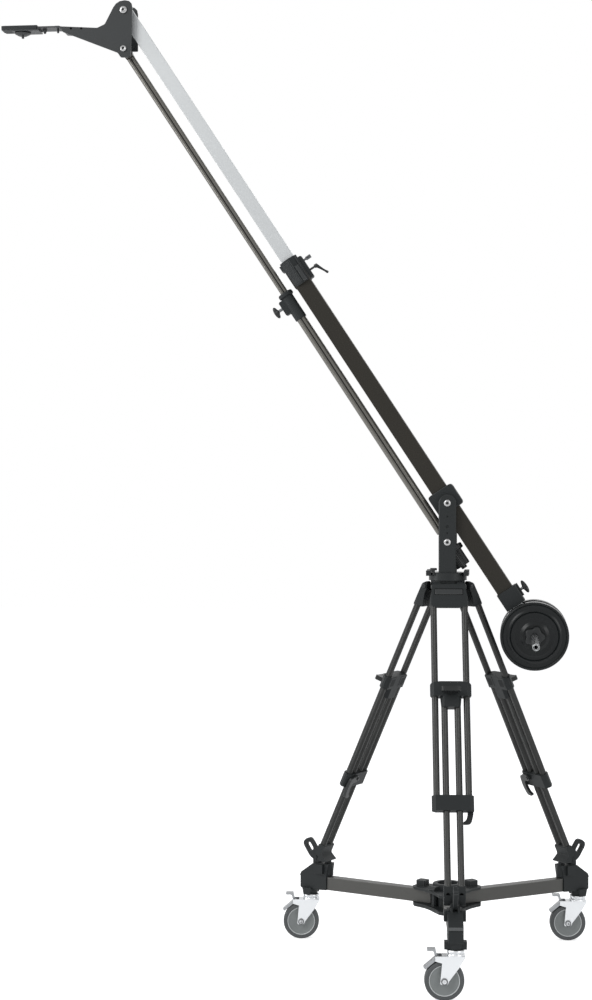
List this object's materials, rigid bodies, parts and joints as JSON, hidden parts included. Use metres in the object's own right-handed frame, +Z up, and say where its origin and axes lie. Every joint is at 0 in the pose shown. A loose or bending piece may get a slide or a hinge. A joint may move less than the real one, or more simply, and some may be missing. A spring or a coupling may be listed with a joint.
{
  "type": "camera jib crane",
  "caption": "Telescopic camera jib arm with a levelling rod, counterweights and a camera platform, on a tripod that stands in a wheeled dolly.",
  "frame": {"origin": "on the floor, under the middle of the dolly", "axes": "+Z up along the tripod axis; the arm lies in the XZ plane, camera head towards -X and counterweights towards +X"},
  "size_m": [1.6131, 0.8628, 2.5978],
  "materials": {
    "black_casting": "satin black powder coat on cast aluminium",
    "grey_casting": "satin dark grey anodising",
    "bronze_tube": "dark bronze anodising",
    "silver_tube": "clear satin anodising",
    "rod_tube": "bronze anodising",
    "leg_tube": "dark titanium anodising",
    "zinc": "bright zinc plating",
    "grey_rubber": "matt grey rubber on a grey plastic core",
    "bright_steel": "bright plated steel",
    "black_plastic": "moulded black",
    "cast_iron": "black enamel"
  },
  "bodies": {
    "dolly": {"dolly_hub": "black_casting", "dolly_arm_right": "leg_tube", "dolly_end_right": "black_casting", "dolly_arm_left": "leg_tube", "dolly_end_left": "black_casting", "dolly_arm_front": "leg_tube", "dolly_end_front": "black_casting"},
    "caster_right": {"caster_fork_right": "zinc"},
    "wheel_right": {"caster_wheel_right": "grey_rubber"},
    "brake_right": {"caster_brake_right": "zinc"},
    "foot_clamp_right": {"foot_clamp_right": "black_casting"},
    "caster_left": {"caster_fork_left": "zinc"},
    "wheel_left": {"caster_wheel_left": "grey_rubber"},
    "brake_left": {"caster_brake_left": "zinc"},
    "foot_clamp_left": {"foot_clamp_left": "black_casting"},
    "caster_front": {"caster_fork_front": "zinc"},
    "wheel_front": {"caster_wheel_front": "grey_rubber"},
    "brake_front": {"caster_brake_front": "zinc"},
    "foot_clamp_front": {"foot_clamp_front": "black_casting"},
    "crown": {"crown": "black_casting", "pan_base": "black_casting"},
    "leg_right": {"leg_outer_right": "leg_tube"},
    "leg_slide_right": {"leg_inner_right": "leg_tube"},
    "leg_knob_right": {"leg_knob_right": "black_plastic"},
    "leg_lever_right": {"leg_lever_right": "black_plastic"},
    "leg_left": {"leg_outer_left": "leg_tube"},
    "leg_slide_left": {"leg_inner_left": "leg_tube"},
    "leg_knob_left": {"leg_knob_left": "black_plastic"},
    "leg_lever_left": {"leg_lever_left": "black_plastic"},
    "leg_front": {"leg_outer_front": "leg_tube"},
    "leg_slide_front": {"leg_inner_front": "leg_tube"},
    "leg_knob_front": {"leg_knob_front": "black_plastic"},
    "leg_lever_front": {"leg_lever_front": "black_plastic"},
    "pedestal": {"pedestal": "grey_casting", "tilt_axle": "bright_steel", "rod_rear_axle": "bright_steel"},
    "pan_lock": {"pan_lock": "black_plastic"},
    "arm": {"saddle": "black_casting", "outer_tube": "bronze_tube", "front_collar": "black_casting", "rear_block": "black_casting"},
    "ratchet": {"ratchet_lever": "black_plastic"},
    "thumb_screw": {"thumb_screw": "bright_steel"},
    "rear_knob": {"rear_wing_knob": "black_plastic"},
    "inner_arm": {"inner_tube": "silver_tube"},
    "head": {"head_bracket": "grey_casting", "head_axle": "bright_steel", "rod_front_axle": "bright_steel", "camera_plate": "black_casting"},
    "camera_screw": {"camera_screw": "black_plastic"},
    "weight_bar": {"weight_carrier": "bright_steel"},
    "weight_near": {"weight_near": "cast_iron"},
    "star_near": {"star_near": "black_plastic"},
    "weight_far": {"weight_far": "cast_iron"},
    "star_far": {"star_far": "black_plastic"},
    "rod": {"rod_outer": "rod_tube", "rod_clamp": "black_casting"},
    "rod_slide": {"rod_inner": "rod_tube"},
    "rod_knob": {"rod_wing_knob": "black_plastic"},
    "level_adjuster": {"level_adjuster": "black_plastic"}
  },
  "joints": [
    {"name": "caster_swivel_right", "type": "hinge", "parent": "dolly", "child": "caster_right", "pos_m": [0.35589, 0.24487, 0], "axis": [0, 0, 1], "continuous": true},
    {"name": "wheel_turn_right", "type": "hinge", "parent": "caster_right", "child": "wheel_right", "pos_m": [0.32798, 0.24266, 0.05], "axis": [-0.079, 0.9969, 0], "continuous": true},
    {"name": "brake_press_right", "type": "hinge", "parent": "caster_right", "child": "brake_right", "pos_m": [0.31104, 0.24132, 0.104], "axis": [-0.079, 0.9969, 0], "range_deg": [-4, 12]},
    {"name": "clamp_lean_right", "type": "hinge", "parent": "dolly", "child": "foot_clamp_right", "pos_m": [0.33777, 0.2324, 0.227], "axis": [-0.5668, 0.8238, 0], "range_deg": [0, 35]},
    {"name": "caster_swivel_left", "type": "hinge", "parent": "dolly", "child": "caster_left", "pos_m": [-0.39001, 0.18578, 0], "axis": [0, 0, 1], "continuous": true},
    {"name": "wheel_turn_left", "type": "hinge", "parent": "caster_left", "child": "wheel_left", "pos_m": [-0.41793, 0.18357, 0.05], "axis": [-0.079, 0.9969, 0], "continuous": true},
    {"name": "brake_press_left", "type": "hinge", "parent": "caster_left", "child": "brake_left", "pos_m": [-0.43487, 0.18222, 0.104], "axis": [-0.079, 0.9969, 0], "range_deg": [-4, 12]},
    {"name": "clamp_lean_left", "type": "hinge", "parent": "dolly", "child": "foot_clamp_left", "pos_m": [-0.37015, 0.17632, 0.227], "axis": [-0.43, -0.9028, 0], "range_deg": [0, 35]},
    {"name": "caster_swivel_front", "type": "hinge", "parent": "dolly", "child": "caster_front", "pos_m": [0.03412, -0.43065, 0], "axis": [0, 0, 1], "continuous": true},
    {"name": "wheel_turn_front", "type": "hinge", "parent": "caster_front", "child": "wheel_front", "pos_m": [0.00621, -0.43286, 0.05], "axis": [-0.079, 0.9969, 0], "continuous": true},
    {"name": "brake_press_front", "type": "hinge", "parent": "caster_front", "child": "brake_front", "pos_m": [-0.01074, -0.43421, 0.104], "axis": [-0.079, 0.9969, 0], "range_deg": [-4, 12]},
    {"name": "clamp_lean_front", "type": "hinge", "parent": "dolly", "child": "foot_clamp_front", "pos_m": [0.03238, -0.40872, 0.227], "axis": [0.9969, 0.079, 0], "range_deg": [0, 35]},
    {"name": "crown_lift", "type": "slide", "parent": "dolly", "child": "crown", "axis": [0, 0, 1], "range_m": [-0.01, 0.03]},
    {"name": "leg_spread_right", "type": "hinge", "parent": "crown", "child": "leg_right", "pos_m": [0.04119, 0.02834, 1.006], "axis": [-0.5668, 0.8238, 0], "range_deg": [-2, 2]},
    {"name": "leg_extend_right", "type": "slide", "parent": "leg_right", "child": "leg_slide_right", "axis": [0.3416, 0.2351, -0.91], "range_m": [-0.02, 0.04]},
    {"name": "leg_knob_right_turn", "type": "hinge", "parent": "leg_slide_right", "child": "leg_knob_right", "pos_m": [0.143, 0.09839, 0.73483], "axis": [0.7497, 0.5158, 0.4147], "continuous": true},
    {"name": "leg_lever_right_turn", "type": "hinge", "parent": "leg_right", "child": "leg_lever_right", "pos_m": [0.23198, 0.17903, 0.47367], "axis": [0.7497, 0.5158, 0.4147], "range_deg": [-60, 60]},
    {"name": "leg_spread_left", "type": "hinge", "parent": "crown", "child": "leg_left", "pos_m": [-0.04514, 0.0215, 1.006], "axis": [-0.43, -0.9028, 0], "range_deg": [-2, 2]},
    {"name": "leg_extend_left", "type": "slide", "parent": "leg_left", "child": "leg_slide_left", "axis": [-0.3744, 0.1783, -0.91], "range_m": [-0.02, 0.04]},
    {"name": "leg_knob_left_turn", "type": "hinge", "parent": "leg_slide_left", "child": "leg_knob_left", "pos_m": [-0.15671, 0.07465, 0.73483], "axis": [-0.8215, 0.3913, 0.4147], "continuous": true},
    {"name": "leg_lever_left_turn", "type": "hinge", "parent": "leg_left", "child": "leg_lever_left", "pos_m": [-0.27104, 0.11138, 0.47367], "axis": [-0.8215, 0.3913, 0.4147], "range_deg": [-60, 60]},
    {"name": "leg_spread_front", "type": "hinge", "parent": "crown", "child": "leg_front", "pos_m": [0.00395, -0.04984, 1.006], "axis": [0.9969, 0.079, 0], "range_deg": [-2, 2]},
    {"name": "leg_extend_front", "type": "slide", "parent": "leg_front", "child": "leg_slide_front", "axis": [0.0328, -0.4134, -0.91], "range_m": [-0.02, 0.04]},
    {"name": "leg_knob_front_turn", "type": "hinge", "parent": "leg_slide_front", "child": "leg_knob_front", "pos_m": [0.01371, -0.17304, 0.73483], "axis": [0.0719, -0.9071, 0.4147], "continuous": true},
    {"name": "leg_lever_front_turn", "type": "hinge", "parent": "leg_front", "child": "leg_lever_front", "pos_m": [0.03906, -0.29042, 0.47367], "axis": [0.0719, -0.9071, 0.4147], "range_deg": [-60, 60]},
    {"name": "pan", "type": "hinge", "parent": "crown", "child": "pedestal", "pos_m": [0, 0, 1.022], "axis": [0, 0, 1], "continuous": true},
    {"name": "pan_lock_turn", "type": "hinge", "parent": "pedestal", "child": "pan_lock", "pos_m": [-0.037, -0.037, 1.049], "axis": [0, 0, 1], "range_deg": [-60, 60]},
    {"name": "arm_tilt", "type": "hinge", "parent": "pedestal", "child": "arm", "pos_m": [0, 0, 1.23], "axis": [0, 1, 0], "range_deg": [-95, 1.5]},
    {"name": "ratchet_turn", "type": "hinge", "parent": "arm", "child": "ratchet", "pos_m": [-0.37322, 0, 1.86421], "axis": [0.836, 0, 0.5487], "range_deg": [-100, 100]},
    {"name": "thumb_screw_turn", "type": "hinge", "parent": "arm", "child": "thumb_screw", "pos_m": [-0.39943, 0, 1.88409], "axis": [0.836, 0, 0.5487], "continuous": true},
    {"name": "rear_knob_turn", "type": "hinge", "parent": "arm", "child": "rear_knob", "pos_m": [0.19526, 0, 0.99812], "axis": [0.836, 0, 0.5487], "continuous": true},
    {"name": "arm_extend", "type": "slide", "parent": "arm", "child": "inner_arm", "axis": [-0.5487, 0, 0.836], "range_m": [-0.5, 0.1]},
    {"name": "head_level", "type": "hinge", "parent": "inner_arm", "child": "head", "pos_m": [-0.88071, 0, 2.57178], "axis": [0, 1, 0], "range_deg": [-3, 96]},
    {"name": "camera_screw_turn", "type": "hinge", "parent": "head", "child": "camera_screw", "pos_m": [-1.17071, 0, 2.52528], "axis": [0, 0, 1], "continuous": true},
    {"name": "weight_slide", "type": "slide", "parent": "arm", "child": "weight_bar", "axis": [-0.5487, 0, 0.836], "range_m": [0, 0.06]},
    {"name": "weight_near_slide", "type": "slide", "parent": "weight_bar", "child": "weight_near", "axis": [0, -1, 0], "range_m": [0, 0.2]},
    {"name": "star_near_turn", "type": "hinge", "parent": "weight_near", "child": "star_near", "pos_m": [0.23211, -0.07, 0.87637], "axis": [0, -1, 0], "continuous": true},
    {"name": "weight_far_slide", "type": "slide", "parent": "weight_bar", "child": "weight_far", "axis": [0, 1, 0], "range_m": [0, 0.2]},
    {"name": "star_far_turn", "type": "hinge", "parent": "weight_far", "child": "star_far", "pos_m": [0.23211, 0.07, 0.87637], "axis": [0, 1, 0], "continuous": true},
    {"name": "rod_tilt", "type": "hinge", "parent": "pedestal", "child": "rod", "pos_m": [0, 0, 1.125], "axis": [0, 1, 0], "range_deg": [-96, 3]},
    {"name": "rod_extend", "type": "slide", "parent": "rod", "child": "rod_slide", "axis": [-0.5487, 0, 0.836], "range_m": [-0.51, 0.11]},
    {"name": "rod_knob_turn", "type": "hinge", "parent": "rod", "child": "rod_knob", "pos_m": [-0.44951, 0, 1.75699], "axis": [-0.836, 0, -0.5487], "continuous": true},
    {"name": "level_adjuster_turn", "type": "hinge", "parent": "rod", "child": "level_adjuster", "pos_m": [0, 0, 1.125], "axis": [-0.5487, 0, 0.836], "continuous": true}
  ],
  "couplings": [
    {"joint": "leg_spread_right", "follows": "crown_lift", "rad_per_m": 0.47857},
    {"joint": "leg_extend_right", "follows": "crown_lift", "ratio": 0.9275},
    {"joint": "leg_spread_left", "follows": "crown_lift", "rad_per_m": 0.47857},
    {"joint": "leg_extend_left", "follows": "crown_lift", "ratio": 0.9275},
    {"joint": "leg_spread_front", "follows": "crown_lift", "rad_per_m": 0.47857},
    {"joint": "leg_extend_front", "follows": "crown_lift", "ratio": 0.9275},
    {"joint": "head_level", "follows": "arm_tilt", "ratio": -1},
    {"joint": "rod_tilt", "follows": "arm_tilt", "ratio": 1},
    {"joint": "rod_extend", "follows": "arm_extend", "ratio": 1}
  ]
}
